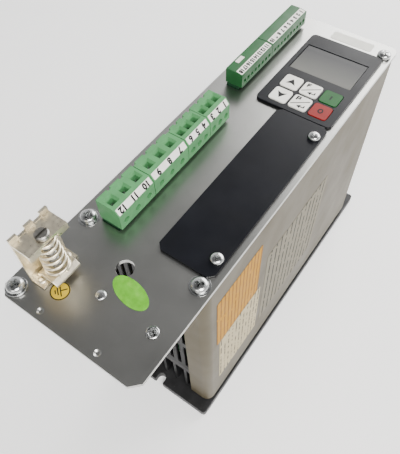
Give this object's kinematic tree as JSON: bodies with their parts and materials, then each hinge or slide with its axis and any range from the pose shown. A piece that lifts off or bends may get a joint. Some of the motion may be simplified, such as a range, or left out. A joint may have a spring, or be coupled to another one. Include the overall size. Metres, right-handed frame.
{
  "type": "variable frequency drive",
  "caption": "Slim panel-mounted motor drive with pluggable terminals, a keypad with display, a sprung shield clamp and a finned base.",
  "frame": {"origin": "middle of the wall face of the mounting plate", "axes": "+Z from the wall face towards the front plate, +Y from the cable end to the display end, +X towards the keypad's side"},
  "size_m": [0.071, 0.2431, 0.1797],
  "materials": {
    "galvanised_plate": "zinc-coated sheet, satin, slightly uneven",
    "cover_sheet": "warm grey coated sheet, satin",
    "black_aluminium": "black anodised, matte",
    "black_base": "black coated, matte",
    "black_plastic": "moulded, slightly textured",
    "keypad_film": "black printed film, smooth",
    "zinc_screws": "zinc plated, bright",
    "tinned_clamp": "tinned sheet, bright with a warm tone",
    "light_green_plastic": "moulded, light green",
    "dark_green_plastic": "moulded, dark green",
    "header_plastic": "moulded, very dark green",
    "white_keys": "moulded, off-white",
    "green_key": "moulded, green",
    "red_key": "moulded, red",
    "display": "grey liquid crystal window, unlit",
    "circuit_board": "glass fibre board with green mask",
    "brass": "turned",
    "dark_sleeve": "dark insulating sleeve",
    "wound_copper": "enamelled copper winding",
    "yellow_case": "moulded, yellow",
    "ribbon": "grey flat cable"
  },
  "bodies": {
    "drive": {"blank_cover": "keypad_film", "board_ribbon_cable": "ribbon", "bus_capacitor_1": "dark_sleeve", "bus_capacitor_2": "dark_sleeve", "clamp_bracket": "tinned_clamp", "clamp_spring": "zinc_screws", "control_board": "circuit_board", "control_standoff_1": "brass", "control_standoff_2": "brass", "control_standoff_3": "brass", "control_standoff_4": "brass", "cover_screw_lower": "zinc_screws", "cover_screw_upper": "zinc_screws", "display_module": "display", "display_window": "display", "earth_screw": "zinc_screws", "earth_washer": "zinc_screws", "filter_capacitor": "yellow_case", "filter_choke": "wound_copper", "front_plate": "galvanised_plate", "front_screw_lower_left": "zinc_screws", "front_screw_lower_right": "zinc_screws", "front_screw_upper_left": "zinc_screws", "front_screw_upper_right": "zinc_screws", "heat_sink": "black_aluminium", "input_header": "header_plastic", "keypad_bezel": "keypad_film", "keypad_board": "circuit_board", "left_cover": "cover_sheet", "lower_end_grille": "black_plastic", "mains_header": "header_plastic", "motor_header": "header_plastic", "mounting_plate": "black_base", "output_header": "header_plastic", "output_relay": "black_plastic", "power_board": "circuit_board", "power_module": "black_plastic", "power_standoff_lower": "brass", "power_standoff_upper": "brass", "pressed_stud": "zinc_screws", "relay_header": "header_plastic", "right_cover": "cover_sheet", "sensor_header": "header_plastic", "supply_transformer": "dark_sleeve", "threaded_insert": "zinc_screws", "upper_end_grille": "black_plastic"},
    "key_down": {"key_down": "white_keys"},
    "key_parameter": {"key_parameter": "white_keys"},
    "key_stop": {"key_stop": "red_key"},
    "key_up": {"key_up": "white_keys"},
    "key_function": {"key_function": "white_keys"},
    "key_start": {"key_start": "green_key"},
    "motor_plug": {"motor_plug": "light_green_plastic"},
    "mains_plug": {"mains_plug": "light_green_plastic"},
    "relay_plug": {"relay_plug": "light_green_plastic"},
    "sensor_plug": {"sensor_plug": "light_green_plastic"},
    "output_plug": {"output_plug": "dark_green_plastic"},
    "input_plug": {"input_plug": "dark_green_plastic"},
    "clamp_saddle": {"clamp_saddle": "tinned_clamp"},
    "clamp_screw": {"clamp_screw": "zinc_screws"}
  },
  "joints": [
    {"name": "key_down_press", "type": "slide", "parent": "drive", "child": "key_down", "axis": [0, 0, -1], "range_m": [0, 0.0004], "stiffness_N_per_m": 1500, "springref_m": -0.0006},
    {"name": "key_parameter_press", "type": "slide", "parent": "drive", "child": "key_parameter", "axis": [0, 0, -1], "range_m": [0, 0.0004], "stiffness_N_per_m": 1500, "springref_m": -0.0006},
    {"name": "key_stop_press", "type": "slide", "parent": "drive", "child": "key_stop", "axis": [0, 0, -1], "range_m": [0, 0.0004], "stiffness_N_per_m": 1500, "springref_m": -0.0006},
    {"name": "key_up_press", "type": "slide", "parent": "drive", "child": "key_up", "axis": [0, 0, -1], "range_m": [0, 0.0004], "stiffness_N_per_m": 1500, "springref_m": -0.0006},
    {"name": "key_function_press", "type": "slide", "parent": "drive", "child": "key_function", "axis": [0, 0, -1], "range_m": [0, 0.0004], "stiffness_N_per_m": 1500, "springref_m": -0.0006},
    {"name": "key_start_press", "type": "slide", "parent": "drive", "child": "key_start", "axis": [0, 0, -1], "range_m": [0, 0.0004], "stiffness_N_per_m": 1500, "springref_m": -0.0006},
    {"name": "motor_plug_pull", "type": "slide", "parent": "drive", "child": "motor_plug", "axis": [0, 0, 1], "range_m": [0, 0.008]},
    {"name": "mains_plug_pull", "type": "slide", "parent": "drive", "child": "mains_plug", "axis": [0, 0, 1], "range_m": [0, 0.008]},
    {"name": "relay_plug_pull", "type": "slide", "parent": "drive", "child": "relay_plug", "axis": [0, 0, 1], "range_m": [0, 0.008]},
    {"name": "sensor_plug_pull", "type": "slide", "parent": "drive", "child": "sensor_plug", "axis": [0, 0, 1], "range_m": [0, 0.008]},
    {"name": "output_plug_pull", "type": "slide", "parent": "drive", "child": "output_plug", "axis": [0, 0, 1], "range_m": [0, 0.008]},
    {"name": "input_plug_pull", "type": "slide", "parent": "drive", "child": "input_plug", "axis": [0, 0, 1], "range_m": [0, 0.008]},
    {"name": "clamp_saddle_lift", "type": "slide", "parent": "drive", "child": "clamp_saddle", "axis": [0, 0, 1], "range_m": [0, 0.01], "deforming": ["clamp_spring"]},
    {"name": "clamp_screw_turn", "type": "hinge", "parent": "clamp_saddle", "child": "clamp_screw", "pos_m": [-0.0199, -0.11965, 0.156], "axis": [0, 0, 1], "range_deg": [0, 4500]}
  ],
  "couplings": [
    {"joint": "clamp_screw_turn", "follows": "clamp_saddle_lift", "rad_per_m": 7854}
  ]
}
